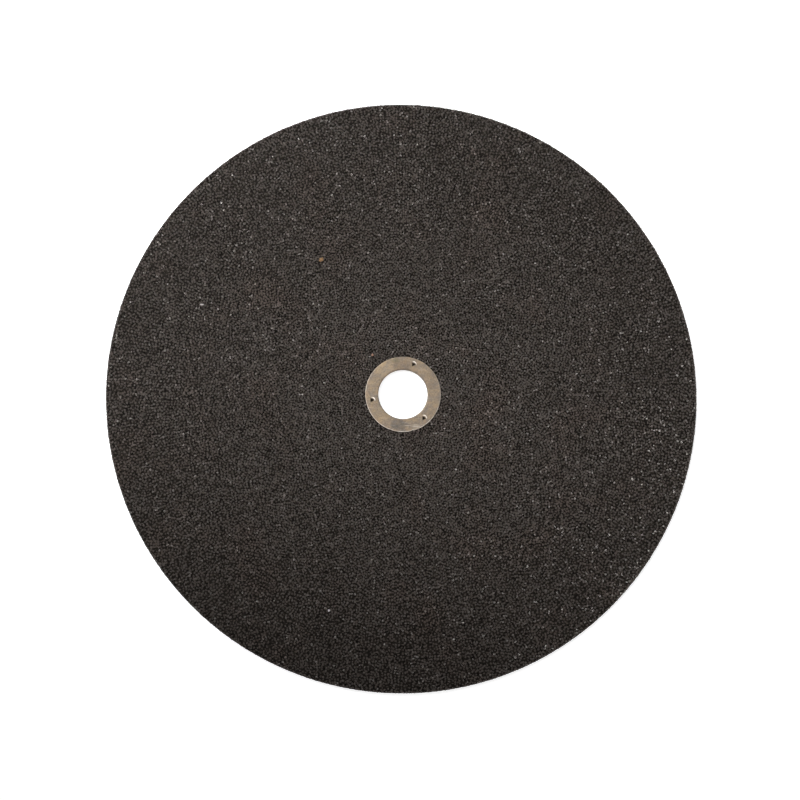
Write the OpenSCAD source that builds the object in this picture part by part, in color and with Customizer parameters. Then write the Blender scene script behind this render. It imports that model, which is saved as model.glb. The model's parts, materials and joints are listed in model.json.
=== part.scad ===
// Flat cut-off wheel with a pressed-steel centre ring
// The wheel lies on its lower face: Z is the arbor's axis and Z = 0 is the lower face.
// Lengths are in millimetres and angles in degrees.

/* [Abrasive disc] */
// Outside diameter of the disc
wheel_d = 305; // [100:1:410]
// Thickness of the disc
wheel_t = 3.2; // [2.2:0.1:6]
// Rounding of the disc's two outer edges
rim_round = 0.3; // [0.1:0.05:0.8]

/* [Centre ring] */
// Diameter of the arbor bore inside the ring's collar
bore_d = 25.4; // [10:0.1:40]
// Thickness of the ring's sheet steel
sheet_t = 0.5; // [0.35:0.05:0.8]
// Width of the ring's face, from the bore's wall to the flange's edge
flange_w = 6.8; // [5.5:0.1:12]
// Inside radius of the bend between the flange and the collar
bend_r = 0.3; // [0.1:0.05:0.8]
// Rounding of the flange's coined upper edge
edge_round = 0.2; // [0.05:0.05:0.3]
// Rounding of the collar's end, where the arbor enters from below
mouth_round = 0.2; // [0.05:0.05:0.3]
// How far the collar's end stays above the disc's lower face
collar_lift = 0.15; // [0.05:0.05:0.6]

/* [Seat of the ring] */
// Depth of the flange's seat in the disc's upper face
seat_depth = 0.3; // [0.1:0.05:0.6]
// Clearance between the ring and the disc moulded around it
ring_gap = 0.05; // [0.02:0.01:0.08]

/* [Punched points] */
// Number of points that stake the flange to the disc
point_count = 3; // [2:1:6]
// Direction of the first point, from the X axis
point_start = 71; // [0:1:120]
// Distance from the flange's edge to the middle of a point
point_inset = 3.2; // [2.2:0.1:3.6]
// Side of a point's triangular mark in the flange's face
mark_side = 2.6; // [1.4:0.1:3]
// Depth of the mark
mark_depth = 1.1; // [0.6:0.05:1.4]
// Metal under the mark's tip
tip_wall = 0.25; // [0.1:0.05:0.3]

/* [Hidden] */

// Smoothness of round faces
$fn = 180;
// Sides of the punch that makes the points
punch_sides = 3;

disc_colour = [0.223, 0.204, 0.191];
steel_colour = [0.592, 0.529, 0.463];

wheel_r = wheel_d / 2;
bore_r = bore_d / 2;
collar_r = bore_r + sheet_t;
flange_r = bore_r + flange_w;
bend_outer_r = bend_r + sheet_t;

// The seat in the disc carries the flange's underside
seat_z = wheel_t - seat_depth;
seat_r = flange_r + ring_gap;
disc_bore_r = collar_r + ring_gap;
flange_top_z = seat_z + sheet_t;

// Centre of the bend, in the section
bend_centre = [collar_r + bend_r, seat_z - bend_r];

// The punch pushes a hollow point through the flange into the disc
point_r = flange_r - point_inset;
mark_corner_r = mark_side / sqrt(3);
punch_spread = mark_corner_r / mark_depth;
mark_tip_z = flange_top_z - mark_depth;
point_tip_z = mark_tip_z - tip_wall;

// Section of what a rounding takes off a corner at the origin, with the material on its left and below
module corner_waste(r) {
    difference() {
        translate([-r, -r]) square(2 * r);
        translate([-r, -r]) circle(r = r);
    }
}

// Section of the disc, to the right of the axis
module disc_section() {
    difference() {
        translate([disc_bore_r, 0]) square([wheel_r - disc_bore_r, wheel_t]);
        translate([0, seat_z]) square([seat_r, wheel_t]);
        // The edge under the ring's bend
        translate([disc_bore_r, seat_z]) mirror([1, 0]) corner_waste(bend_r - ring_gap);
        // The two edges of the rim
        translate([wheel_r, wheel_t]) corner_waste(rim_round);
        translate([wheel_r, 0]) mirror([0, 1]) corner_waste(rim_round);
    }
}

// Section of the ring: collar, bend and flange in one thickness of sheet
module ring_section() {
    difference() {
        translate([bore_r, collar_lift]) square([sheet_t, bend_centre.y - collar_lift]);
        translate([bore_r, collar_lift]) rotate(180) corner_waste(mouth_round);
    }
    translate(bend_centre) intersection() {
        difference() {
            circle(r = bend_outer_r);
            circle(r = bend_r);
        }
        translate([-bend_outer_r, 0]) square(bend_outer_r);
    }
    difference() {
        translate([bend_centre.x, seat_z]) square([flange_r - bend_centre.x, sheet_t]);
        translate([flange_r, flange_top_z]) corner_waste(edge_round);
    }
}

// Form that the punch leaves between two heights, with its tip below
module punch_form(tip_z, top_z) {
    height = top_z - tip_z;
    translate([0, 0, tip_z])
        cylinder(h = height, r1 = 0, r2 = height * punch_spread, $fn = punch_sides);
}

// Repeats a form at each punched point, all turned the same way as one tool strikes them
module at_points() {
    for (i = [0 : point_count - 1]) {
        direction = point_start + i * 360 / point_count;
        translate([point_r * cos(direction), point_r * sin(direction), 0]) children();
    }
}

// Moulded disc of abrasive grain in resin
module abrasive_disc() {
    color(disc_colour) difference() {
        rotate_extrude() disc_section();
        at_points() punch_form(point_tip_z - ring_gap, flange_top_z);
    }
}

// Pressed-steel ring that lines the bore and is staked to the disc
module centre_ring() {
    color(steel_colour) difference() {
        union() {
            rotate_extrude() ring_section();
            at_points() punch_form(point_tip_z, flange_top_z - sheet_t / 2);
        }
        at_points() punch_form(mark_tip_z, flange_top_z + sheet_t);
    }
}

abrasive_disc();
centre_ring();
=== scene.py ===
# %% [markdown]
# A cut-off wheel is a thin disc of crushed abrasive grain, moulded in black resin, with a pressed-steel
# ring in its middle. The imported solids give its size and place. They are loaded first and never moved, and
# every piece below is made in metres in their frame: Z is the arbor's axis and the lower face lies at Z = 0.

# %% Load the fixed frame
import json
import math
import random
from functools import partial

import bmesh
import bpy
import numpy as np
from mathutils import Matrix, Vector

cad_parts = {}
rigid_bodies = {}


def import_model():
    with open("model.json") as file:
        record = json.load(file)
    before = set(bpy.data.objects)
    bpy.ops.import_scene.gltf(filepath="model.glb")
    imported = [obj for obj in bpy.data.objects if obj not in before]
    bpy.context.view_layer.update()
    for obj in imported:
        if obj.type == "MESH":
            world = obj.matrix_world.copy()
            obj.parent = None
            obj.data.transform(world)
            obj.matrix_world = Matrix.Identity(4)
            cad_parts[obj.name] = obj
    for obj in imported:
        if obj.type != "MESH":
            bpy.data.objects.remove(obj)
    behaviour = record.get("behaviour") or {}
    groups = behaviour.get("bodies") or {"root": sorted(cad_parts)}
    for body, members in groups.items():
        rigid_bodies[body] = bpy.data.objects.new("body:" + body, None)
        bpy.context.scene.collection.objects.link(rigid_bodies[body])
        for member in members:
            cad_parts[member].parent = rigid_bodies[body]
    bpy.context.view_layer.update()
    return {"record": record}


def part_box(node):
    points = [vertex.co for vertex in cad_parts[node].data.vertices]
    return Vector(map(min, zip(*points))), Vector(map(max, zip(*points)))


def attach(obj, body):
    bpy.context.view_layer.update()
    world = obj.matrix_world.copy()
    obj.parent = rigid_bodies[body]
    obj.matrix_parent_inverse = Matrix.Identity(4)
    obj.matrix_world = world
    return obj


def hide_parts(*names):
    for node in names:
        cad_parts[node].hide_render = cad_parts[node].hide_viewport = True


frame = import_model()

# %% Sizes that the frame gives
MM = 0.001
TURN = 2 * math.pi
disc_low, disc_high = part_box("abrasive_disc")
ring_low, ring_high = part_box("centre_ring")
arbor_bore = next(m for m in frame["record"]["mounts"] if m["name"] == "arbor_bore")

wheel_t = disc_high[2]
wheel_r = min(disc_high[0], disc_high[1], -disc_low[0], -disc_low[1])
flange_r = ring_high[0]
flange_top = ring_high[2]
collar_end = ring_low[2]
bore_r = arbor_bore["dims"]["r_mm"] * MM
print(f"radius {wheel_r / MM:.2f} mm, thickness {wheel_t / MM:.2f} mm, bore radius {bore_r / MM:.2f} mm")

# %% Sizes of the ring's sheet, seat and punched points, as in the part's source
SHEET_T = 0.5 * MM
SEAT_DEPTH = 0.3 * MM
RING_GAP = 0.05 * MM
BEND_R = 0.3 * MM
EDGE_ROUND = 0.2 * MM
MOUTH_ROUND = 0.2 * MM
POINT_COUNT = 3
POINT_START = math.radians(71)
POINT_INSET = 3.2 * MM
MARK_SIDE = 2.6 * MM
MARK_DEPTH = 1.1 * MM
TIP_WALL = 0.25 * MM

seat_z = wheel_t - SEAT_DEPTH
disc_bore_r = bore_r + SHEET_T + RING_GAP
point_r = flange_r - POINT_INSET
mark_inner_r = MARK_SIDE / math.sqrt(12)
point_turns = [POINT_START + k * TURN / POINT_COUNT for k in range(POINT_COUNT)]
point_places = [(point_r * math.cos(t), point_r * math.sin(t)) for t in point_turns]
print("punched points in mm:", np.round(np.array(point_places) / MM, 1).tolist())

# %% [markdown]
# The photograph looks almost straight down: the outline is a circle, but the ring sits a little above and to
# the right of its middle. Shifting the picture would move both alike. A camera that leans a few degrees
# towards the lower left moves the ring alone, because the nearer half of a disc looks larger than the
# farther half. The lens is worked out from the outline's radius in the picture, and the aim from the ring's
# place in it. The outline runs through the rough rim, a little inside the solid's radius.

# %% Camera
PHOTO_SIDE_PX = 800
PHOTO_MIDDLE_PX = (PHOTO_SIDE_PX - 1) / 2
PHOTO_WHEEL_R_PX = 294.7
PHOTO_RING_PX = (402.6, 393.7)
ROUGH_RIM_SHARE = 0.9957
CAMERA_DISTANCE = 0.8
LEAN_LEFT = math.radians(1.9)
LEAN_DOWN = math.radians(4.9)
SENSOR_MM = 36.0
NEAR_CLIP = 0.01


def link_object(name, data):
    """A new object in the scene, at the origin."""
    made = bpy.data.objects.new(name, data)
    bpy.context.scene.collection.objects.link(made)
    return made


def facing_back(away):
    """The turn of a camera or lamp that stands in this direction from what it faces, with +Y up."""
    sideways = Vector((0, 1, 0)).cross(away).normalized()
    return Matrix((sideways, away.cross(sideways), away)).transposed().to_euler()


px_to_m = wheel_r * ROUGH_RIM_SHARE / PHOTO_WHEEL_R_PX
aim = Vector((
    (PHOTO_MIDDLE_PX - PHOTO_RING_PX[0]) * px_to_m,
    (PHOTO_RING_PX[1] - PHOTO_MIDDLE_PX) * px_to_m,
    wheel_t,
))
towards_camera = Vector((-math.tan(LEAN_LEFT), -math.tan(LEAN_DOWN), 1)).normalized()

lens = bpy.data.cameras.new("photo_camera")
lens.sensor_width = SENSOR_MM
lens.lens = SENSOR_MM / PHOTO_SIDE_PX * CAMERA_DISTANCE / px_to_m
lens.clip_start = NEAR_CLIP
camera = link_object("photo_camera", lens)
camera.location = aim + towards_camera * CAMERA_DISTANCE
camera.rotation_euler = facing_back(towards_camera)
bpy.context.scene.camera = camera
print(f"lens {lens.lens:.1f} mm, camera at {[round(c, 4) for c in camera.location]}")

# %% [markdown]
# Materials and node trees could be clicked together in the editor, but a script gives the same tree every
# time, and it is easier to read when each node is one line. These helpers add a node, set its options, and
# then fill each input with a value or link it to another node's output.

# %% One node at a time
def fill_inputs(tree, node, fill):
    """Gives each of these inputs its value, or a link where the value is another node's output."""
    for socket, value in fill.items():
        if isinstance(value, bpy.types.NodeSocket):
            tree.links.new(value, node.inputs[socket])
        else:
            node.inputs[socket].default_value = value


def add(tree, kind, options=None, fill=None):
    """Adds a node of this kind to tree, with its options set and its inputs filled."""
    node = tree.nodes.new(kind)
    for option, value in (options or {}).items():
        setattr(node, option, value)
    fill_inputs(tree, node, fill or {})
    return node


def math_node(tree, operation, *values):
    """Adds a Math node and returns its output."""
    return add(tree, "ShaderNodeMath", {"operation": operation}, dict(enumerate(values))).outputs[0]


def spread_range(tree, value, low, high, new_low=0.0, new_high=1.0):
    """Maps a value from one range to another, and holds it inside."""
    fill = {"Value": value, "From Min": low, "From Max": high, "To Min": new_low, "To Max": new_high}
    return add(tree, "ShaderNodeMapRange", fill=fill).outputs[0]


def blank_material(name):
    """A new Principled material: returns the material, its tree and the shader."""
    material = bpy.data.materials.new(name)
    material.use_nodes = True
    return material, material.node_tree, material.node_tree.nodes["Principled BSDF"]


def tell_finish(material):
    """Prints a finish's name and how many nodes it has."""
    print("finish:", material.name, "with", len(material.node_tree.nodes), "nodes")


# %% [markdown]
# The wheel lies on a white surface. More light would make a floor white too, but it would also wash out the
# black wheel. So the floor adds a white glow, which only the camera and reflections see, to a plain diffuse
# surface, which still catches the wheel's thin shadow.

# %% White floor
FLOOR_HALF = 3.0
FLOOR_Z = -0.1 * MM
FLOOR_GLOW = 0.89
FLOOR_WHITE = 0.55
BOUNCE_WHITE = 0.7


def grey(value):
    return (value, value, value, 1)


def seen_directly(tree):
    """1 for camera, glossy and transmission rays, and 0 for the rays that carry light."""
    path = add(tree, "ShaderNodeLightPath")
    sharp = math_node(tree, "MAXIMUM", path.outputs["Is Glossy Ray"], path.outputs["Is Transmission Ray"])
    return math_node(tree, "MAXIMUM", path.outputs["Is Camera Ray"], sharp)


def floor_finish():
    material, tree, _ = blank_material("white_floor")
    tree.nodes.clear()
    shown = add(tree, "ShaderNodeBsdfDiffuse", fill={"Color": grey(FLOOR_WHITE)})
    glow = add(tree, "ShaderNodeEmission", fill={"Color": grey(1), "Strength": FLOOR_GLOW})
    both = add(tree, "ShaderNodeAddShader", fill={0: shown.outputs[0], 1: glow.outputs[0]})
    bounce = add(tree, "ShaderNodeBsdfDiffuse", fill={"Color": grey(BOUNCE_WHITE)})
    choice = add(tree, "ShaderNodeMixShader",
                 fill={0: seen_directly(tree), 1: bounce.outputs[0], 2: both.outputs[0]})
    add(tree, "ShaderNodeOutputMaterial", fill={"Surface": choice.outputs[0]})
    return material


corner_signs = ((-1, -1), (1, -1), (1, 1), (-1, 1))
floor_corners = [(x * FLOOR_HALF, y * FLOOR_HALF, FLOOR_Z) for x, y in corner_signs]
floor_mesh = bpy.data.meshes.new("floor")
floor_mesh.from_pydata(floor_corners, [], [(0, 1, 2, 3)])
floor_mesh.materials.append(floor_finish())
floor = link_object("floor", floor_mesh)
print("floor:", 2 * FLOOR_HALF, "m wide")

# %% [markdown]
# In the photograph the light comes from the upper left and falls off towards the lower edge. A far lamp
# would light a flat face evenly, so the lamps stand near: a wide softbox whose beam is narrow, and a smaller
# key lamp that is nearer still. The world adds a weak, even fill, and looks white in reflections.

# %% World and lamps
FILL_STRENGTH = 0.106
SOFTBOX_POWER = 0.757
SOFTBOX_SIZE = (0.62, 0.40)
SOFTBOX_SPREAD = math.radians(20)
SOFTBOX_AIM = (-0.08, 0.113, 0.0)
SOFTBOX_FROM = (-0.50, 0.45, 1.0)
SOFTBOX_DISTANCE = 0.75
KEY_POWER = 0.656
KEY_SIZE = (0.25, 0.25)
KEY_AIM = (-0.05, 0.05, 0.0)
KEY_FROM = (-0.75, 0.65, 1.0)
KEY_DISTANCE = 0.35


def area_lamp(name, power, size, aim_at, direction, distance):
    """An area lamp at a distance from the point that it faces, in the given direction from it."""
    data = bpy.data.lights.new(name, "AREA")
    data.energy = power
    data.shape = "RECTANGLE"
    data.size, data.size_y = size
    away = Vector(direction).normalized()
    lamp = link_object(name, data)
    lamp.location = Vector(aim_at) + away * distance
    lamp.rotation_euler = facing_back(away)
    return lamp


world = bpy.data.worlds.new("soft_room")
bpy.context.scene.world = world
world.use_nodes = True
sky = world.node_tree
fill_or_white = spread_range(sky, seen_directly(sky), 0, 1, FILL_STRENGTH, 1.0)
fill_inputs(sky, sky.nodes["Background"], {"Color": grey(1), "Strength": fill_or_white})

softbox = area_lamp("softbox", SOFTBOX_POWER, SOFTBOX_SIZE, SOFTBOX_AIM, SOFTBOX_FROM, SOFTBOX_DISTANCE)
softbox.data.spread = SOFTBOX_SPREAD
area_lamp("key", KEY_POWER, KEY_SIZE, KEY_AIM, KEY_FROM, KEY_DISTANCE)
bpy.context.scene.view_settings.view_transform = "Standard"

# %% [markdown]
# The abrasive is nearly black, with every grain a little lighter or darker than its neighbours. A noise
# texture could vary the colour, but its blobs wouldn't follow the grains. So the scatter further down gives
# each grain two random numbers, and the finish reads them: one picks its shade from a ramp, the other makes
# it a touch warmer or cooler. A wide, faint noise adds the brownish clouds of the moulded face. The palest
# few grains get a painted glint: a fine noise whitens part of each. There are more of them near the edge
# at the lower right and the upper left.

# %% Tools for finishes
# The Mix node has sockets for numbers, vectors and colours: these are the ones for colours
MIX_FACTOR, MIX_FIRST, MIX_SECOND, MIX_RESULT = 0, 6, 7, 2


def shade_ramp(tree, factor, stops):
    """A colour ramp over these stops, read at factor."""
    ramp = add(tree, "ShaderNodeValToRGB", fill={"Fac": factor})
    elements = ramp.color_ramp.elements
    while len(elements) < len(stops):
        elements.new(1.0)
    for element, (place, colour) in zip(elements, stops):
        element.position = place
        element.color = (*colour, 1)
    return ramp.outputs["Color"]


def blend_colours(tree, factor, first, second, how="MIX"):
    """Mixes two colours and returns the mix."""
    mix = add(tree, "ShaderNodeMix", {"data_type": "RGBA", "blend_type": how},
              {MIX_FACTOR: factor, MIX_FIRST: first, MIX_SECOND: second})
    return mix.outputs[MIX_RESULT]


def noise(tree, size, detail=2.0, roughness=0.5, stretch=(1, 1, 1), span=None):
    """Noise about this many metres across, on the piece's own coordinates, and mapped by span if given."""
    place = add(tree, "ShaderNodeTexCoord").outputs["Object"]
    place = add(tree, "ShaderNodeMapping", fill={"Vector": place, "Scale": stretch}).outputs[0]
    value = add(tree, "ShaderNodeTexNoise", fill={
        "Vector": place, "Scale": 1 / size, "Detail": detail, "Roughness": roughness}).outputs["Fac"]
    return spread_range(tree, value, *span) if span else value


def attribute(tree, name):
    """A number that the mesh holds for each grain or point."""
    return add(tree, "ShaderNodeAttribute", {"attribute_name": name}).outputs["Fac"]


def flat_place(tree):
    """The two coordinates of a place on the piece, as seen along the wheel's axis."""
    place = add(tree, "ShaderNodeTexCoord").outputs["Object"]
    split = add(tree, "ShaderNodeSeparateXYZ", fill={"Vector": place})
    return split.outputs["X"], split.outputs["Y"]


# %% Painted glints
GLINT_SHARE = 0.063
GLINT_TO_RIGHT = 0.45
GLINT_TO_CORNERS = 1.1
GLINT_TO_EDGE = 0.9
GLINT_LEAST, GLINT_GAIN = 0.28, 0.24


def painted_glints(tree):
    """How bright a grain's painted glint is: 0 on most grains, and up to 1 on the palest few."""
    calc = partial(math_node, tree)
    right, up = (calc("DIVIDE", value, wheel_r) for value in flat_place(tree))
    outward = calc("ADD", calc("POWER", right, 2.0), calc("POWER", up, 2.0))
    lean = calc("MULTIPLY_ADD", outward, GLINT_TO_EDGE, 1.0 - GLINT_TO_EDGE / 2)
    lean = calc("MULTIPLY_ADD", right, GLINT_TO_RIGHT, lean)
    lean = calc("MULTIPLY_ADD", calc("MULTIPLY", right, up), -GLINT_TO_CORNERS, lean)
    below_palest = calc("SUBTRACT", attribute(tree, "grain_shade"), 1.0)
    over = calc("ADD", calc("DIVIDE", below_palest, GLINT_SHARE), lean)
    graded = calc("MULTIPLY_ADD", calc("POWER", over, 3.0), GLINT_GAIN, GLINT_LEAST)
    shown = calc("MULTIPLY", graded, calc("GREATER_THAN", over, 0.0))
    return calc("MINIMUM", shown, 1.0)


# %% Finish of the grains
SHADE_STOPS = (
    (0.00, (0.0752, 0.0638, 0.0560)),
    (0.50, (0.0881, 0.0755, 0.0676)),
    (0.85, (0.1004, 0.0869, 0.0790)),
    (1.00, (0.1420, 0.1247, 0.1146)),
)
WARM_TINT = (1.02, 1.00, 0.985, 1)
COOL_TINT = (0.98, 1.00, 1.015, 1)
RUST_TINT = (1.085, 0.98, 0.94, 1)
GLINT_WHITE = (0.95, 0.92, 0.88, 1)
CLOUD = {"size": 30 * MM, "span": (0.5, 0.8)}
GLINT_FACET = {"size": 0.6 * MM, "span": (0.55, 0.62)}
GRAIN_ROUGHNESS = (0.3, 0.6)
GRAIN_SPECULAR = 0.06


def grain_finish():
    material, tree, shader = blank_material("abrasive_grain")
    shade = shade_ramp(tree, attribute(tree, "grain_shade"), SHADE_STOPS)
    tint = blend_colours(tree, attribute(tree, "grain_warmth"), COOL_TINT, WARM_TINT)
    colour = blend_colours(tree, 1.0, shade, tint, "MULTIPLY")
    rusty = blend_colours(tree, 1.0, colour, RUST_TINT, "MULTIPLY")
    colour = blend_colours(tree, noise(tree, **CLOUD), colour, rusty)
    # Painted glints: a fine noise whitens spots on the palest grains
    glint = math_node(tree, "MULTIPLY", painted_glints(tree), noise(tree, **GLINT_FACET))
    colour = blend_colours(tree, glint, colour, GLINT_WHITE)
    gloss = spread_range(tree, attribute(tree, "grain_warmth"), 0, 1, *GRAIN_ROUGHNESS)
    fill_inputs(tree, shader, {
        "Base Color": colour, "Roughness": gloss, "Specular IOR Level": GRAIN_SPECULAR})
    return material


grain_material = grain_finish()
tell_finish(grain_material)

# %% [markdown]
# Between the grains the black resin shows, in pits that get little light. One flat black would make all the
# pits alike. A mottle about as fine as the pits makes a few of them soot black and leaves the rest a dark
# brown grey, and a fine bump breaks up the gloss. Its specular level is low, or a haze would lie over it.

# %% Finish of the resin
RESIN_STOPS = (
    (0.35, (0.0012, 0.0010, 0.0008)),
    (0.50, (0.0140, 0.0116, 0.0098)),
    (0.70, (0.0370, 0.0307, 0.0259)),
)
RESIN_MOTTLE = {"size": 1.2 * MM, "detail": 3.0, "roughness": 0.65}
RESIN_GLOSS = {"size": 0.8 * MM, "span": (0, 1, 0.45, 0.75)}
RESIN_BUMP = {"Strength": 0.4, "Distance": 0.1 * MM}
RESIN_BUMP_SIZE = 0.4 * MM
RESIN_SPECULAR = 0.03


def resin_finish():
    material, tree, shader = blank_material("black_resin")
    mottle = shade_ramp(tree, noise(tree, **RESIN_MOTTLE), RESIN_STOPS)
    bump = add(tree, "ShaderNodeBump", fill={**RESIN_BUMP, "Height": noise(tree, RESIN_BUMP_SIZE)})
    fill_inputs(tree, shader, {
        "Base Color": mottle, "Roughness": noise(tree, **RESIN_GLOSS), "Normal": bump.outputs[0],
        "Specular IOR Level": RESIN_SPECULAR})
    return material


resin_material = resin_finish()
tell_finish(resin_material)

# %% [markdown]
# A punch with three flat sides has staked the ring to the disc at three points. The ring has the marks and
# the disc has hollows under them. Cutting them with a boolean would leave long, thin faces in both meshes.
# Instead one function tells both how deep the punch went at any place, and their own points move down to it.

# %% Depth of the punch
SIDE_DIRECTIONS = [math.radians(angle) for angle in (60, 180, 300)]

tip_z = flange_top - MARK_DEPTH - TIP_WALL


def punch_reach(x, y):
    """How far a place is from the nearest punched point: 0 at its tip and 1 on the mark's edge."""
    reach = np.full(x.shape, np.inf)
    for px, py in point_places:
        sides = [(x - px) * math.cos(t) + (y - py) * math.sin(t) for t in SIDE_DIRECTIONS]
        reach = np.minimum(reach, np.max(sides, axis=0) / mark_inner_r)
    return reach


def under_point(x, y):
    """Height of the point's underside, which is far above the ring where there is no point."""
    return tip_z + MARK_DEPTH * punch_reach(x, y)


print(f"tips of the punched points at {tip_z / MM:.2f} mm")

# %% [markdown]
# The resin body is one closed skin, turned about the axis like a lathe part, with its section taken from the
# solid disc: seat, upper face, rim, lower face and bore. A lathe grid would crowd its points towards the
# middle, so each circle gets as many points as its length needs, and neighbouring circles are joined by a
# zip of triangles. Every point of the faces and rim is then pushed about at random, which leaves the small
# pits and facets of a pressed mixture of grain and resin. The grains stand on it up to the solid's surface.

# %% Section of the resin body
SKIN_DEPTH = 0.55 * MM
UNDER_DEPTH = 0.32 * MM
RIM_DEPTH = 0.15 * MM
FACE_PITCH = 1.7 * MM
SEAT_PITCH = 0.4 * MM
RIM_ROWS = 3
RIM_SHAKE = 0.3
ROW_RATIO = math.sqrt(3) / 2

seat_r = flange_r + RING_GAP
seat_floor = seat_z - RING_GAP
face_z = wheel_t - SKIN_DEPTH
under_z = UNDER_DEPTH
rim_r = wheel_r - RIM_DEPTH


def steps(first, last, pitch):
    """Evenly spaced values from first to last, about pitch apart, without the last."""
    count = max(1, round(abs(last - first) / pitch))
    return np.linspace(first, last, count, endpoint=False)


def body_stations():
    """The section's points in order, each with a radius, a height, a pitch and a roughness."""
    stations = [(r, seat_floor, SEAT_PITCH, 0.0) for r in steps(disc_bore_r, seat_r, SEAT_PITCH)]
    stations.append((seat_r, seat_floor, SEAT_PITCH, 0.0))
    face_start, face_end = seat_r + FACE_PITCH, rim_r - FACE_PITCH / 2
    stations += [(r, face_z, FACE_PITCH, 1.0) for r in steps(face_start, face_end, FACE_PITCH * ROW_RATIO)]
    rim_pitch = (face_z - under_z) / RIM_ROWS
    stations += [(rim_r, z, rim_pitch, RIM_SHAKE) for z in steps(face_z, under_z, rim_pitch)]
    last_upper = len(stations)
    stations.append((rim_r, under_z, rim_pitch, RIM_SHAKE))
    stations += [(r, under_z, FACE_PITCH, 1.0) for r in steps(face_end, disc_bore_r, FACE_PITCH * ROW_RATIO)]
    stations += [(disc_bore_r, z, FACE_PITCH, 0.0) for z in steps(under_z, seat_floor, SEAT_PITCH * 2)]
    return np.array(stations), last_upper


stations, last_upper = body_stations()
print("section:", len(stations), "points,", last_upper, "on the upper side")

# %% Circles of the resin body
BODY_SEED = 11
LEAST_SIDES = 24
SIDE_SHAKE = 0.32
DEPTH_SHAKE = 0.20 * MM
POINT_CLEARANCE = 0.12 * MM


def body_circles():
    """Shaken circles of points, one for each station, as rows of x, y, z, turn and radial shake."""
    chance = np.random.default_rng(BODY_SEED)
    circles = []
    for r, z, pitch, rough in stations:
        count = max(LEAST_SIDES, round(TURN * r / pitch))
        shake = chance.uniform(-1, 1, (3, count)) * rough
        turn = (np.arange(count) + shake[0] * SIDE_SHAKE) * TURN / count
        sideways = shake[1] * (SIDE_SHAKE * pitch if r < rim_r else DEPTH_SHAKE)
        x, y = (r + sideways) * np.cos(turn), (r + sideways) * np.sin(turn)
        height = z + shake[2] * DEPTH_SHAKE
        if z == seat_floor:
            height = np.minimum(height, under_point(x, y) - POINT_CLEARANCE)
        circles.append(np.stack([x, y, height, turn, sideways], 1))
    return circles


def zip_circles(first, second):
    """Triangles between two circles of points, each given as the start and the count of its points."""
    (a, a_count), (b, b_count) = first, second
    faces = []
    i = j = 0
    while i < a_count or j < b_count:
        if j >= b_count or (i < a_count and (i + 1) / a_count <= (j + 1) / b_count):
            faces.append((a + i % a_count, b + j % b_count, a + (i + 1) % a_count))
            i += 1
        else:
            faces.append((a + i % a_count, b + j % b_count, b + (j + 1) % b_count))
            j += 1
    return faces


def body_faces(counts):
    """Triangles of the whole skin, and whether each is on the upper side."""
    starts = np.concatenate([[0], np.cumsum(counts)[:-1]])
    rows = list(zip(starts.tolist(), counts))
    faces, on_top = [], []
    for k, first in enumerate(rows):
        band = zip_circles(first, rows[(k + 1) % len(rows)])
        faces += band
        on_top += [k < last_upper] * len(band)
    return faces, on_top


circles = body_circles()
print("largest circle:", max(len(c) for c in circles), "points")

# %% Skin of the resin body
DISC_MAP_R = 0.29
MAP_MIDDLE, UPPER_MAP, LOWER_MAP = (0.5, 0.5), (0.293, 0.293), (0.707, 0.707)


def write_map(mesh, corners):
    """Gives the mesh its UV map, from one pair of numbers for each corner."""
    layer = mesh.uv_layers.new(name="OFBake")
    layer.data.foreach_set("uv", np.asarray(corners, dtype=np.float32).ravel())


def write_round_map(mesh, flat_r, turn, middle=MAP_MIDDLE):
    """Writes a map whose corners lie at these radii and turns round a middle."""
    write_map(mesh, middle + flat_r[..., None] * np.stack([np.cos(turn), np.sin(turn)], -1))


def map_body(mesh, points, faces, on_top):
    """Unrolls the skin from the bore outwards, so that each side's map is a disc and nothing overlaps."""
    counts = [len(c) for c in circles]
    turn, sideways = points[:, 3], points[:, 4]
    walk = np.hypot(*np.diff(stations[:, :2], axis=0).T)
    length = np.concatenate([[0], np.cumsum(walk)])
    upper_r = np.repeat(disc_bore_r + length, counts) + sideways
    # On the lower side the first circle comes after the last one, where the skin closes
    length[0] = length[-1] + SEAT_PITCH
    lower_r = np.repeat(disc_bore_r + length[0] - length, counts) + sideways
    corner = np.array(faces).ravel()
    top = np.repeat(on_top, 3)
    flat_r = np.where(top, upper_r[corner], lower_r[corner])
    flat_r *= DISC_MAP_R / flat_r.max()
    write_round_map(mesh, flat_r, turn[corner], np.where(top[:, None], UPPER_MAP, LOWER_MAP))


def resin_body():
    faces, on_top = body_faces([len(c) for c in circles])
    points = np.concatenate(circles)
    mesh = bpy.data.meshes.new("resin_body")
    mesh.from_pydata(points[:, :3].tolist(), [], faces)
    mesh.materials.append(resin_material)
    map_body(mesh, points, faces, on_top)
    return link_object("resin_body", mesh)


body = resin_body()
print("resin body:", len(body.data.vertices), "points,", len(body.data.polygons), "triangles")

# %% [markdown]
# Crushed grain breaks into blunt, many-sided lumps. Sculpting them would be wasted at this size, and a ball
# would look like a bead. So a handful of lumps is made first: each is the convex hull of a few random points
# on a squashed ball, with only about ten faces, because thousands of them follow.

# %% A handful of grain shapes
GRAIN_SEED = 5
GRAIN_KINDS = 14
GRAIN_POINTS = (6, 7)
SPIRAL_TURN = math.pi * (3 - math.sqrt(5))
CORNER_SHAKE = 0.35
LUMP_R = 0.5
SQUASH_ACROSS = (0.7, 1.0)
SQUASH_DOWN = (0.6, 0.9)


def lump_points(count, chance):
    """Corners of a lump one unit across: a spiral spreads them over a ball, and then they are shaken."""
    corners = []
    for k in range(count):
        height = 1 - (2 * k + 1) / count
        round_r = math.sqrt(1 - height * height)
        turn = k * SPIRAL_TURN
        point = Vector((round_r * math.cos(turn), round_r * math.sin(turn), height))
        point += Vector([chance.uniform(-CORNER_SHAKE, CORNER_SHAKE) for _ in range(3)])
        corners.append(point.normalized() * LUMP_R)
    return corners


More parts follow.
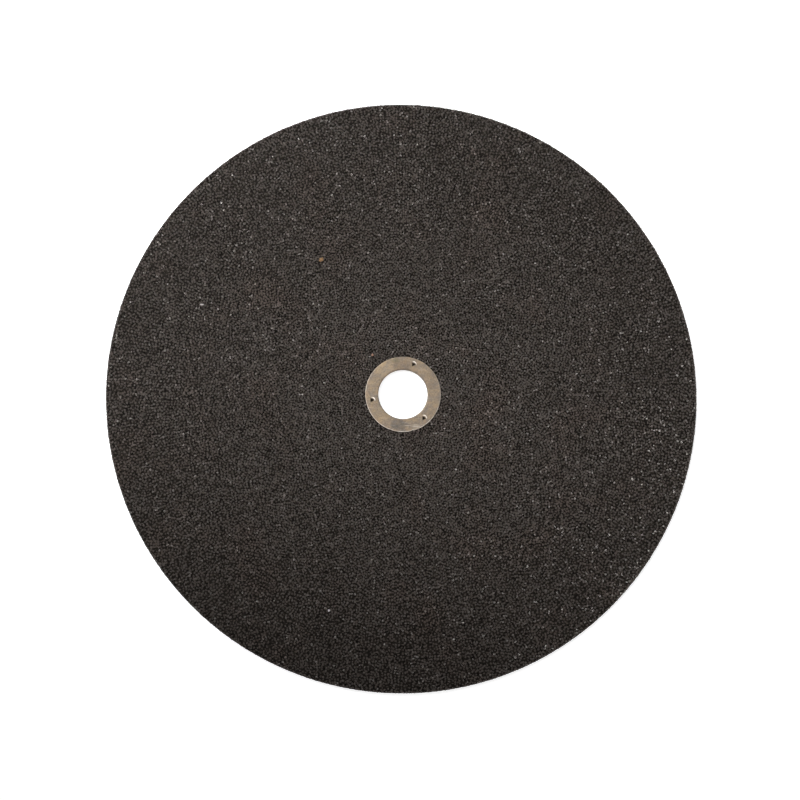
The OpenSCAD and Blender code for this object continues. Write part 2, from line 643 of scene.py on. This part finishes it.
def grain_shape(index, chance):
    """One lump of about unit size, as an object of its own."""
    shape = bmesh.new()
    count = GRAIN_POINTS[index % len(GRAIN_POINTS)]
    squash = Vector((1.0, chance.uniform(*SQUASH_ACROSS), chance.uniform(*SQUASH_DOWN)))
    for point in lump_points(count, chance):
        shape.verts.new(point * squash)
    bmesh.ops.convex_hull(shape, input=shape.verts)
    bmesh.ops.recalc_face_normals(shape, faces=shape.faces)
    mesh = bpy.data.meshes.new(f"grain_shape_{index:02d}")
    shape.to_mesh(mesh)
    shape.free()
    return bpy.data.objects.new(mesh.name, mesh)


chance = random.Random(GRAIN_SEED)
grain_shapes = bpy.data.collections.new("grain_shapes")
for index in range(GRAIN_KINDS):
    grain_shapes.objects.link(grain_shape(index, chance))

# %% [markdown]
# Tens of thousands of grains cover the wheel. A particle system could spread them too, but a node tree can
# also keep them apart and press them flat. One tree serves both faces and the rim. It spreads points over a
# carrier surface so that no two are closer than a spacing, sinks each point a random depth, sets one of the
# lumps there at a random turn and size, and gives it its shade and warmth. At the end all is made real, and
# any corner past the wheel's own size is pressed back to it, as the mould's plates press the real grain.

# %% Pressing grains back to the wheel's size
def press_to_size(tree, geometry):
    """Moves every corner that stands past the wheel's radius or faces back to them."""
    where = add(tree, "GeometryNodeInputPosition").outputs[0]
    split = add(tree, "ShaderNodeSeparateXYZ", fill={"Vector": where})
    flat = add(tree, "ShaderNodeCombineXYZ", fill={"X": split.outputs["X"], "Y": split.outputs["Y"]})
    reach = add(tree, "ShaderNodeVectorMath", {"operation": "LENGTH"}, {0: flat.outputs[0]}).outputs["Value"]
    share = math_node(tree, "MINIMUM", math_node(tree, "DIVIDE", wheel_r, reach), 1.0)
    pulled = add(tree, "ShaderNodeVectorMath", {"operation": "SCALE"}, {0: flat.outputs[0], "Scale": share})
    pulled_split = add(tree, "ShaderNodeSeparateXYZ", fill={"Vector": pulled.outputs[0]})
    height = add(tree, "ShaderNodeClamp", fill={"Value": split.outputs["Z"], "Min": 0.0, "Max": wheel_t})
    pressed = add(tree, "ShaderNodeCombineXYZ", fill={
        "X": pulled_split.outputs["X"], "Y": pulled_split.outputs["Y"], "Z": height.outputs[0]})
    moved = add(tree, "GeometryNodeSetPosition", fill={"Geometry": geometry, "Position": pressed.outputs[0]})
    return moved.outputs[0]


# %% Node tree of the scatter
SCATTER_INPUTS = {
    "Geometry": "NodeSocketGeometry",
    **dict.fromkeys(("Spacing", "Smallest", "Largest", "Shallowest", "Deepest"), "NodeSocketFloat"),
    "Seed": "NodeSocketInt",
    "Lumps": "NodeSocketCollection",
    "Finish": "NodeSocketMaterial",
}
TRIES = 12.0
RANGE_SOCKETS = {"FLOAT_VECTOR": (0, 1), "FLOAT": (2, 3), "INT": (4, 5)}
DEPTH_DRAW, KIND_DRAW, TURN_DRAW, SIZE_DRAW, SHADE_DRAW, WARMTH_DRAW = range(1, 7)
NO_TURN, ANY_TURN = (0, 0, 0), (TURN, TURN, TURN)


def random_value(tree, kind, low, high, seed, draw):
    """A random number or vector between low and high for each point, with a seed of its own."""
    low_socket, high_socket = RANGE_SOCKETS[kind]
    fill = {low_socket: low, high_socket: high, "Seed": math_node(tree, "ADD", seed, draw)}
    node = add(tree, "FunctionNodeRandomValue", {"data_type": kind}, fill)
    return next(s for s in node.outputs if s.enabled)


def sunk_points(tree, given):
    """Points over the carrier, no closer than the spacing, each sunk a random depth."""
    most = math_node(tree, "DIVIDE", TRIES, math_node(tree, "POWER", given["Spacing"], 2.0))
    spread = add(tree, "GeometryNodeDistributePointsOnFaces", {"distribute_method": "POISSON"}, {
        "Mesh": given["Geometry"], "Distance Min": given["Spacing"], "Density Max": most,
        "Seed": given["Seed"]})
    depth = random_value(tree, "FLOAT", given["Shallowest"], given["Deepest"], given["Seed"], DEPTH_DRAW)
    inward = add(tree, "ShaderNodeVectorMath", {"operation": "SCALE"}, {
        0: spread.outputs["Normal"], "Scale": math_node(tree, "MULTIPLY", depth, -1.0)})
    sunk = add(tree, "GeometryNodeSetPosition",
               fill={"Geometry": spread.outputs["Points"], "Offset": inward.outputs[0]})
    return sunk.outputs[0]


def scatter_tree():
    tree = bpy.data.node_groups.new("scattered_grain", "GeometryNodeTree")
    for name, kind in SCATTER_INPUTS.items():
        tree.interface.new_socket(name, in_out="INPUT", socket_type=kind)
    tree.interface.new_socket("Geometry", in_out="OUTPUT", socket_type="NodeSocketGeometry")
    given = add(tree, "NodeGroupInput").outputs
    seed = given["Seed"]
    lumps = add(tree, "GeometryNodeCollectionInfo", fill={
        "Collection": given["Lumps"], "Separate Children": True, "Reset Children": True})
    set_down = add(tree, "GeometryNodeInstanceOnPoints", fill={
        "Points": sunk_points(tree, given), "Instance": lumps.outputs[0], "Pick Instance": True,
        "Instance Index": random_value(tree, "INT", 0, GRAIN_KINDS - 1, seed, KIND_DRAW),
        "Rotation": random_value(tree, "FLOAT_VECTOR", NO_TURN, ANY_TURN, seed, TURN_DRAW),
        "Scale": random_value(tree, "FLOAT", given["Smallest"], given["Largest"], seed, SIZE_DRAW)})
    grains = set_down.outputs[0]
    for name, draw in (("grain_shade", SHADE_DRAW), ("grain_warmth", WARMTH_DRAW)):
        store = {"Geometry": grains, "Name": name,
                 "Value": random_value(tree, "FLOAT", 0.0, 1.0, seed, draw)}
        grains = add(tree, "GeometryNodeStoreNamedAttribute", {"data_type": "FLOAT", "domain": "INSTANCE"},
                     store).outputs[0]
    real = add(tree, "GeometryNodeRealizeInstances", fill={"Geometry": grains})
    finished = add(tree, "GeometryNodeSetMaterial", fill={
        "Geometry": press_to_size(tree, real.outputs[0]), "Material": given["Finish"]})
    add(tree, "NodeGroupOutput", fill={"Geometry": finished.outputs[0]})
    return tree


scatter = scatter_tree()
print("scatter tree:", len(scatter.nodes), "nodes")

# %% [markdown]
# The scatter needs surfaces to spread its points on. The rough skin could carry them, but then the grains
# would follow its pits. The carriers are smooth bands instead, at the solid's own faces and rim, and every
# grain's depth is counted from there.

# %% Carriers, and running the scatter on them
CARRIER_SIDES = 256
FULL_CIRCLE = (0.0, TURN)
FAR_HALF, NEAR_HALF = (0.0, math.pi), (math.pi, TURN)


def carrier_band(name, first, second, turns=FULL_CIRCLE):
    """A carrier between two circles, each given as a radius and a height. It faces away from the wheel."""
    angles = np.linspace(*turns, CARRIER_SIDES + 1)
    places = [(r * math.cos(t), r * math.sin(t), z) for r, z in (first, second) for t in angles]
    other = CARRIER_SIDES + 1
    faces = [(k, other + k, other + k + 1, k + 1) for k in range(CARRIER_SIDES)]
    mesh = bpy.data.meshes.new(name)
    mesh.from_pydata(places, [], faces)
    return link_object(name, mesh)


def scatter_on(carrier, sizes, seed):
    """Runs the scatter on a carrier and turns the result into a plain mesh in the carrier's place."""
    modifier = carrier.modifiers.new("scatter", "NODES")
    modifier.node_group = scatter
    inputs = {i.name: i.identifier for i in scatter.interface.items_tree if i.in_out == "INPUT"}
    settings = {**sizes, "Seed": seed, "Lumps": grain_shapes, "Finish": grain_material}
    for name, value in settings.items():
        modifier[inputs[name]] = value
    evaluated = carrier.evaluated_get(bpy.context.evaluated_depsgraph_get())
    mesh = bpy.data.meshes.new_from_object(evaluated)
    carrier.modifiers.remove(modifier)
    bare = carrier.data
    carrier.data = mesh
    bpy.data.meshes.remove(bare)
    mesh.name = carrier.name
    return carrier


# %% Grains on the two faces and the rim
FLANGE_CLEARANCE = 0.5 * MM
EDGE_INSET = 0.3 * MM
UPPER_GRAIN = {"Spacing": 1.16 * MM, "Smallest": 1.75 * MM, "Largest": 2.02 * MM,
               "Shallowest": 0.50 * MM, "Deepest": 0.69 * MM}
LOWER_GRAIN = {"Spacing": 1.50 * MM, "Smallest": 2.05 * MM, "Largest": 2.45 * MM,
               "Shallowest": 0.62 * MM, "Deepest": 0.84 * MM}
RIM_GRAIN = {"Spacing": 0.84 * MM, "Smallest": 1.26 * MM, "Largest": 1.45 * MM,
             "Shallowest": 0.36 * MM, "Deepest": 0.50 * MM}

outer = wheel_r - EDGE_INSET
upper_edges = (flange_r + FLANGE_CLEARANCE, wheel_t), (outer, wheel_t)
lower_edges = (outer, 0.0), (disc_bore_r + FLANGE_CLEARANCE, 0.0)
rim_edges = (wheel_r, wheel_t - EDGE_INSET), (wheel_r, EDGE_INSET)
face_grit = [
    scatter_on(carrier_band("grit_upper_far", *upper_edges, FAR_HALF), UPPER_GRAIN, seed=21),
    scatter_on(carrier_band("grit_upper_near", *upper_edges, NEAR_HALF), UPPER_GRAIN, seed=31),
    scatter_on(carrier_band("grit_lower", *lower_edges), LOWER_GRAIN, seed=41),
]
rim_grit = scatter_on(carrier_band("grit_rim", *rim_edges), RIM_GRAIN, seed=51)
for piece in [*face_grit, rim_grit]:
    print(piece.name, len(piece.data.polygons), "triangles")

# %% [markdown]
# A finish that is kept with an exported model needs a flat map of each piece. Unwrapping every grain by
# itself would cut the map into thousands of islands. From above, a face of the wheel is flat already, so its
# grains are mapped as they are seen from there, and the rim is laid out as a flat ring.

# %% Maps of the grains
MAP_MARGIN = 0.01
RIM_MAP_R, RIM_MAP_BAND = 0.38, 0.1


def corner_places(mesh):
    """The place of each face corner's point."""
    places = np.empty(len(mesh.vertices) * 3, dtype=np.float32)
    mesh.vertices.foreach_get("co", places)
    corner = np.empty(len(mesh.loops), dtype=np.int32)
    mesh.loops.foreach_get("vertex_index", corner)
    return places.reshape(-1, 3)[corner]


def map_from_above(mesh):
    """A flat map as seen along the axis, which fills the square."""
    flat = corner_places(mesh)[:, :2]
    low, high = flat.min(0), flat.max(0)
    write_map(mesh, MAP_MARGIN + (1 - 2 * MAP_MARGIN) * (flat - low) / (high - low))


def map_round_rim(mesh):
    """The rim laid out as a flat ring, with its upper edge outside."""
    x, y, z = corner_places(mesh).T
    write_round_map(mesh, RIM_MAP_R + RIM_MAP_BAND * z / wheel_t, np.arctan2(y, x))


for piece in face_grit:
    map_from_above(piece.data)
map_round_rim(rim_grit.data)
print("mapped:", [piece.name for piece in [*face_grit, rim_grit]])

# %% [markdown]
# A few stray grains differ from the rest: a large tan one, a small reddish one, a bluish-white one and a
# pale splinter that lies flat. They could be painted on, but lumps catch the light as their neighbours do.
# Each is a lump of the same kind, stretched and turned, and sits in the face where the photograph shows it.
# Their colours are kept on the mesh, and one finish mottles them all.

# %% Finish of the stray grains
STRAY_MOTTLE = {"size": 0.8 * MM, "detail": 3.0, "span": (0.3, 0.7, 0.75, 1.15)}
STRAY_ROUGHNESS = 0.45


def shade_by(tree, colour, value):
    """Makes a colour lighter or darker by a number."""
    flat = add(tree, "ShaderNodeCombineColor", fill={"Red": value, "Green": value, "Blue": value}).outputs[0]
    return blend_colours(tree, 1.0, colour, flat, "MULTIPLY")


def stray_finish():
    material, tree, shader = blank_material("stray_grain")
    own = add(tree, "ShaderNodeAttribute", {"attribute_name": "stray_colour"}).outputs["Color"]
    mottled = shade_by(tree, own, noise(tree, **STRAY_MOTTLE))
    fill_inputs(tree, shader, {
        "Base Color": mottled, "Roughness": STRAY_ROUGHNESS, "Specular IOR Level": GRAIN_SPECULAR})
    return material


stray_material = stray_finish()
tell_finish(stray_material)

# %% Stray grains
STRAY_SEED = 8
STRAY_POINTS = 12
STRAYS = (
    {"place": (-42.2, 70.2), "size": (3.5, 2.4, 1.0), "turn": 38, "colour": (0.272, 0.165, 0.083)},
    {"place": (-15.9, 20.4), "size": (1.5, 1.6, 0.9), "turn": 70, "colour": (0.390, 0.235, 0.170)},
    {"place": (-37.8, -110.5), "size": (1.5, 1.4, 0.9), "turn": 10, "colour": (0.930, 0.900, 0.950)},
    {"place": (-103.8, 46.2), "size": (2.9, 1.1, 0.8), "turn": 3, "colour": (0.400, 0.382, 0.372)},
)


def stray_grains():
    """All stray grains as one mesh, with their tops in the plane of the upper face."""
    lumps = bmesh.new()
    paint = lumps.verts.layers.float_color.new("stray_colour")
    chance = random.Random(STRAY_SEED)
    for stray in STRAYS:
        size = Vector(stray["size"]) * MM
        where = Matrix.Translation((stray["place"][0] * MM, stray["place"][1] * MM, wheel_t - size.z / 2))
        turned = where @ Matrix.Rotation(math.radians(stray["turn"]), 4, "Z")
        lump = [lumps.verts.new(turned @ (Vector(p) * size)) for p in lump_points(STRAY_POINTS, chance)]
        for vert in lump:
            vert[paint] = (*stray["colour"], 1)
            vert.co.z = min(vert.co.z, wheel_t)
        hull = bmesh.ops.convex_hull(lumps, input=lump)
        bmesh.ops.delete(lumps, geom=hull["geom_interior"], context="VERTS")
    bmesh.ops.recalc_face_normals(lumps, faces=lumps.faces)
    mesh = bpy.data.meshes.new("stray_grains")
    lumps.to_mesh(mesh)
    lumps.free()
    mesh.materials.append(stray_material)
    map_from_above(mesh)
    return link_object("stray_grains", mesh)


strays = stray_grains()
print("stray grains:", len(STRAYS), "with", len(strays.data.polygons), "triangles")

# %% [markdown]
# The ring is one pressing of sheet steel: a flat flange, a bend and a collar that lines the bore. A modifier
# could turn its section about the axis, but then every part of it would be equally fine. Here the grid is
# crowded only near the punched points, so that their three flat sides come out sharp.

# %% Section of the ring
RING_STEP = 0.30 * MM
MARK_STEP = 0.07 * MM
MARK_WINDOW = 2.0 * MM
ARC_STEPS = 6


def arc(centre, radius, start, end):
    """Points of an arc in the section, without its end, for angles in degrees."""
    angles = np.radians(np.linspace(start, end, ARC_STEPS, endpoint=False))
    return [(centre[0] + radius * math.cos(a), centre[1] + radius * math.sin(a)) for a in angles]


def line(start, end, pitch):
    """Points of a straight line in the section, without its end."""
    count = max(1, round(math.dist(start, end) / pitch))
    return [tuple(np.array(start) + (np.array(end) - start) * k / count) for k in range(count)]


def ring_section():
    """The ring's section in order, from the bend's top outwards, down, inwards and round the collar."""
    collar_r = bore_r + SHEET_T
    bend = (collar_r + BEND_R, seat_z - BEND_R)
    window = (point_r - MARK_WINDOW, point_r + MARK_WINDOW)
    edge = (flange_r - EDGE_ROUND, flange_top - EDGE_ROUND)
    mouth = (bore_r + MOUTH_ROUND, collar_end + MOUTH_ROUND)
    top = line((bend[0], flange_top), (window[0], flange_top), RING_STEP)
    top += line((window[0], flange_top), (window[1], flange_top), MARK_STEP)
    top += line((window[1], flange_top), (edge[0], flange_top), RING_STEP)
    top += arc(edge, EDGE_ROUND, 90, 0)
    under = line((flange_r, edge[1]), (flange_r, seat_z), RING_STEP)
    under += line((flange_r, seat_z), (window[1], seat_z), RING_STEP)
    under += line((window[1], seat_z), (window[0], seat_z), MARK_STEP * 2)
    under += line((window[0], seat_z), (bend[0], seat_z), RING_STEP)
    under += arc(bend, BEND_R, 90, 180)
    under += line((collar_r, bend[1]), (collar_r, collar_end), RING_STEP)
    under += line((collar_r, collar_end), (mouth[0], collar_end), RING_STEP)
    inside = arc(mouth, MOUTH_ROUND, 270, 180)
    inside += line((bore_r, mouth[1]), (bore_r, bend[1]), RING_STEP)
    inside += arc(bend, BEND_R + SHEET_T, 180, 90)
    return np.array(top), np.array(under), np.array(inside)


def ring_turns():
    """Angles of the ring's grid, crowded near the punched points."""
    wide = MARK_WINDOW / point_r
    near = [np.arange(t - wide, t + wide, MARK_STEP / point_r) for t in point_turns]
    coarse = np.arange(0, TURN, RING_STEP / point_r)
    gaps = np.min([np.abs((coarse - t + math.pi) % TURN - math.pi) for t in point_turns], axis=0)
    turns = np.concatenate([coarse[gaps > wide + RING_STEP / point_r / 2], *near])
    return np.sort(turns % TURN)


top, under, inside = ring_section()
section = np.concatenate([top, under, inside])
turns = ring_turns()
print("ring's grid:", len(section), "by", len(turns), "points")

# %% [markdown]
# The real ring isn't perfect. The punch leaned a little, so it pushed up a burr on the upper right of each
# mark, and the outer edge has a nick near the bottom. Both are moved in the mesh, because light and outline
# show them. Bare steel, painted highlights and painted shade only change the colour, so they are two numbers
# kept at each point, which the finish reads: one for bare steel with a painted highlight on the burrs and
# the coined edge, the other for painted shade inside the marks.

# %% Nick, marks and burrs
LIP_H = 0.05 * MM
BURR_DIRECTION = math.radians(48)
BURR_R = 1.45 * MM
BURR_WIDTH = 0.20 * MM
BURR_FACING, BURR_CUT = 2.2, 0.9
NICK_TURN = math.radians(-75.7)
NICK_WIDTH = 0.55 * MM
NICK_DEPTH = 0.40 * MM
NICK_REACH = 1.2 * MM

is_top = np.arange(len(section))[:, None] < len(top)
is_inside = np.arange(len(section))[:, None] >= len(top) + len(under)
away_from_nick = (turns - NICK_TURN + math.pi) % TURN - math.pi
nick = NICK_DEPTH * np.exp(-away_from_nick ** 2 * (flange_r / NICK_WIDTH) ** 2)


def burr_share(x, y):
    """1 on the crest of the burr round one side of each mark, falling to 0 around it."""
    share = np.zeros(x.shape)
    for px, py in point_places:
        away = np.hypot(x - px, y - py)
        facing = np.cos(np.arctan2(y - py, x - px) - BURR_DIRECTION)
        crest = np.exp(-((away - BURR_R) / BURR_WIDTH) ** 2)
        share = np.maximum(share, crest * np.clip(facing * BURR_FACING - BURR_CUT, 0, 1))
    return share


def ring_places():
    """Radius and place of each point of the ring's grid, one row for each point of its section."""
    r = np.repeat(section[:, :1], len(turns), axis=1)
    z = np.repeat(section[:, 1:], len(turns), axis=1)
    r = r - np.clip((r - (flange_r - NICK_REACH)) / NICK_REACH, 0, 1) ** 2 * nick
    x, y = r * np.cos(turns), r * np.sin(turns)
    pit = MARK_DEPTH * np.clip(1 - punch_reach(x, y), 0, 1)
    z = np.where(is_top, z - LIP_H * (1 - burr_share(x, y)) - pit, z)
    is_seated = ~is_top & ~is_inside & (z > seat_z - BEND_R / 4)
    z = np.where(is_seated, np.minimum(z, under_point(x, y)), z)
    return r, x, y, z


ring_r, ring_x, ring_y, ring_z = ring_places()
print(f"nick {nick.max() / MM:.2f} mm deep, burrs {LIP_H / MM:.2f} mm high")

# %% Wear, painted highlights and painted shade of the ring
# How strongly the burrs and the coined edge get bare steel with a painted highlight
BURR_HIGHLIGHT = 1.3
EDGE_WEAR_AND_HIGHLIGHT_WIDTH = 0.28 * MM
EDGE_WEAR_AND_HIGHLIGHT_SOFT = 0.15 * MM
EDGE_WEAR_AND_HIGHLIGHT, EDGE_HIGHLIGHT_LEAN = 0.45, 0.40
# Reach of the painted shade inside the punched marks
PIT_SHADE_REACH, PIT_SHADE_SOFT = 0.60, 0.2


def ring_wear_and_painted_light():
    """How bare the steel is, with its painted highlights, at each point of the ring, and its painted shade.
    """
    # Painted highlight on the burr of each mark
    burr_highlight = np.clip(burr_share(ring_x, ring_y) * BURR_HIGHLIGHT, 0, 1)
    # Coined edge: partly worn bare, partly a painted highlight that grows towards the bottom
    edge = np.clip((ring_r - (flange_r - EDGE_WEAR_AND_HIGHLIGHT_WIDTH - nick)) / EDGE_WEAR_AND_HIGHLIGHT_SOFT, 0, 1)
    edge *= np.clip(EDGE_WEAR_AND_HIGHLIGHT - EDGE_HIGHLIGHT_LEAN * np.sin(turns), 0, 1)
    # Painted shade inside the punched marks
    grime = np.clip((PIT_SHADE_REACH - punch_reach(ring_x, ring_y)) / PIT_SHADE_SOFT + 0.5, 0, 1)
    return {"bare_steel": np.maximum(burr_highlight, edge) * is_top, "grime": grime * is_top}


wear_and_painted_light = ring_wear_and_painted_light()
print("points with wear:", {name: np.count_nonzero(values) for name, values in wear_and_painted_light.items()})

# %% Mesh of the ring
RING_MAP_R = 0.49
SHARP_ANGLE = math.radians(38)


def map_ring(mesh):
    """Cuts the section at the collar's end and lays it out as a flat ring, with the bore's wall inside."""
    rows, cut = len(section), len(top) + len(under)
    walk = np.hypot(*(np.roll(section, -1, 0) - section).T)
    flat = bore_r + np.concatenate([[0], np.cumsum(np.roll(walk, -cut))])
    order = np.empty(rows, dtype=int)
    order[np.roll(np.arange(rows), -cut)] = np.arange(rows)
    near_r, far_r = flat[order], flat[order + 1]
    corner_r = np.stack([near_r, far_r, far_r, near_r], -1)
    next_turns = np.append(turns[1:], turns[0] + TURN)
    corner_turn = np.stack([turns, turns, next_turns, next_turns], -1)
    flat_r = np.repeat(corner_r[:, None, :], len(turns), 1) * (RING_MAP_R / flat.max())
    write_round_map(mesh, flat_r, np.repeat(corner_turn[None, :, :], rows, 0))


def centre_ring():
    index = np.arange(ring_r.size).reshape(ring_r.shape)
    across, along = np.roll(index, -1, 0), np.roll(index, -1, 1)
    faces = np.stack([index, across, np.roll(across, -1, 1), along], -1).reshape(-1, 4)
    mesh = bpy.data.meshes.new("centre_ring_steel")
    places = np.stack([ring_x, ring_y, ring_z], -1).reshape(-1, 3)
    mesh.from_pydata(places.tolist(), [], faces.tolist())
    for name, values in wear_and_painted_light.items():
        layer = mesh.attributes.new(name, "FLOAT", "POINT")
        layer.data.foreach_set("value", values.ravel().astype(np.float32))
    map_ring(mesh)
    mesh.shade_smooth()
    mesh.set_sharp_from_angle(angle=SHARP_ANGLE)
    return link_object("centre_ring_steel", mesh)


ring = centre_ring()
print("ring:", len(ring.data.polygons), "four-sided faces")

# %% [markdown]
# The steel is dull and a little tanned. A picture of steel could be laid over it, but a finish made of nodes
# stays sharp from near by. Two steels are blended by a blotchy noise, and a finer one speckles them. Then
# come the areas that the real ring shows: two lighter tan ones on the left, dull and greenish ones at the
# top, a duller right side, and a grey scuff at the bottom with fine scratches beside it. Bare steel with a
# painted highlight shows on the burrs and on the coined edge, more on its lower side, and painted shade
# darkens the marks.

# %% Areas of the ring
PATCHES = (
    {"tint": (1.20, 1.18, 1.12, 1), "centre": (-9.6, 12.8), "size": (4.6, 4.0), "soft": 0.7},
    {"tint": (1.10, 1.09, 1.05, 1), "centre": (-12.3, -11.0), "size": (5.0, 4.5), "soft": 0.7},
    {"tint": (0.85, 0.84, 0.85, 1), "centre": (-0.4, 15.2), "size": (4.6, 2.8), "soft": 0.6},
    {"tint": (0.82, 0.88, 0.84, 1), "centre": (-4.0, 17.6), "size": (2.4, 1.3), "soft": 0.6},
    {"tint": (0.92, 0.92, 0.93, 1), "centre": (15.4, 8.4), "size": (2.6, 6.0), "soft": 0.7},
    {"tint": (0.66, 0.71, 0.80, 1), "centre": (-2.0, -15.8), "size": (4.2, 2.6), "soft": 0.3},
)
SCRATCHED_PATCH = {"centre": (5.5, -16.2), "size": (4.5, 2.2), "soft": 0.5}
RAGGED_EDGE = {"size": 1.5 * MM, "detail": 3.0, "span": (0, 1, -0.7, 0.7)}


def patch(tree, centre, size, soft):
    """1 inside an oval patch of the flange with a ragged edge, and 0 outside."""
    squares = []
    for value, middle, half in zip(flat_place(tree), centre, size):
        offset = math_node(tree, "SUBTRACT", value, middle * MM)
        squares.append(math_node(tree, "POWER", math_node(tree, "DIVIDE", offset, half * MM), 2.0))
    ragged = math_node(tree, "ADD", math_node(tree, "ADD", *squares), noise(tree, **RAGGED_EDGE))
    return spread_range(tree, ragged, 1 - soft, 1 + soft, 1.0, 0.0)


print("tinted areas:", len(PATCHES))

# %% Finish of the ring
TAN_STEEL = (0.194, 0.146, 0.098, 1)
GREY_STEEL = (0.139, 0.116, 0.095, 1)
# Also the colour of the painted highlights on the burrs and the edge
BARE_STEEL_AND_HIGHLIGHT = (0.72, 0.67, 0.60, 1)
# Colour of the painted shade inside the marks
PIT_SHADE_COLOUR = (0.020, 0.017, 0.015, 1)
BLOTCH = {"size": 3.5 * MM, "detail": 3.0, "roughness": 0.6, "span": (0.35, 0.65)}
SPECK = {"size": 0.7 * MM, "detail": 3.0, "roughness": 0.7, "span": (0.3, 0.7, 0.78, 1.22)}
SCRATCH = {"size": 0.6 * MM, "roughness": 0.6, "stretch": (0.08, 1.3, 1), "span": (0.62, 0.70)}
SCRATCH_STRENGTH = (0.10, 0.45)
RUB_AND_HIGHLIGHT = {"size": 2 * MM, "span": (0.3, 0.6, 0.35, 1.0)}
STEEL_GLOSS = {"size": 1.2 * MM, "detail": 3.0, "span": (0.3, 0.7, 0.42, 0.60)}
STEEL_BUMP = {"Strength": 0.25, "Distance": 0.05 * MM}
STEEL_BUMP_NOISE = {"size": 0.5 * MM, "detail": 3.0}


def worn_steel_and_painted_light_colour(tree):
    """Blotches, specks, areas, scratches, bare steel with painted highlights, and painted shade, one over
    the other.
    """
    colour = blend_colours(tree, noise(tree, **BLOTCH), GREY_STEEL, TAN_STEEL)
    colour = shade_by(tree, colour, noise(tree, **SPECK))
    for area in PATCHES:
        tinted = blend_colours(tree, 1.0, colour, area["tint"], "MULTIPLY")
        where = patch(tree, area["centre"], area["size"], area["soft"])
        colour = blend_colours(tree, where, colour, tinted)
    scratched = spread_range(tree, patch(tree, **SCRATCHED_PATCH), 0, 1, *SCRATCH_STRENGTH)
    scratches = math_node(tree, "MULTIPLY", noise(tree, **SCRATCH), scratched)
    colour = blend_colours(tree, scratches, colour, BARE_STEEL_AND_HIGHLIGHT)
    # Bare steel and painted highlights on the burrs and the coined edge
    rubbed_and_highlit = math_node(tree, "MULTIPLY", attribute(tree, "bare_steel"), noise(tree, **RUB_AND_HIGHLIGHT))
    colour = blend_colours(tree, rubbed_and_highlit, colour, BARE_STEEL_AND_HIGHLIGHT)
    # Painted shade darkens the marks
    return blend_colours(tree, attribute(tree, "grime"), colour, PIT_SHADE_COLOUR)


def steel_finish():
    material, tree, shader = blank_material("worn_ring_steel")
    bump = add(tree, "ShaderNodeBump", fill={**STEEL_BUMP, "Height": noise(tree, **STEEL_BUMP_NOISE)})
    fill_inputs(tree, shader, {
        "Base Color": worn_steel_and_painted_light_colour(tree), "Metallic": 1.0, "Roughness": noise(tree, **STEEL_GLOSS),
        "Normal": bump.outputs[0]})
    return material


steel_material = steel_finish()
ring.data.materials.append(steel_material)
tell_finish(steel_material)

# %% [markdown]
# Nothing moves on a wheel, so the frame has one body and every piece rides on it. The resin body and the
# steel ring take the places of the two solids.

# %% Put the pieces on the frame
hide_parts("abrasive_disc")
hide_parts("centre_ring")
for piece in [body, rim_grit, *face_grit, strays]:
    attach(piece, "root")
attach(ring, "root")
print("pieces:", [o.name for o in (body, rim_grit, *face_grit, strays, ring)])
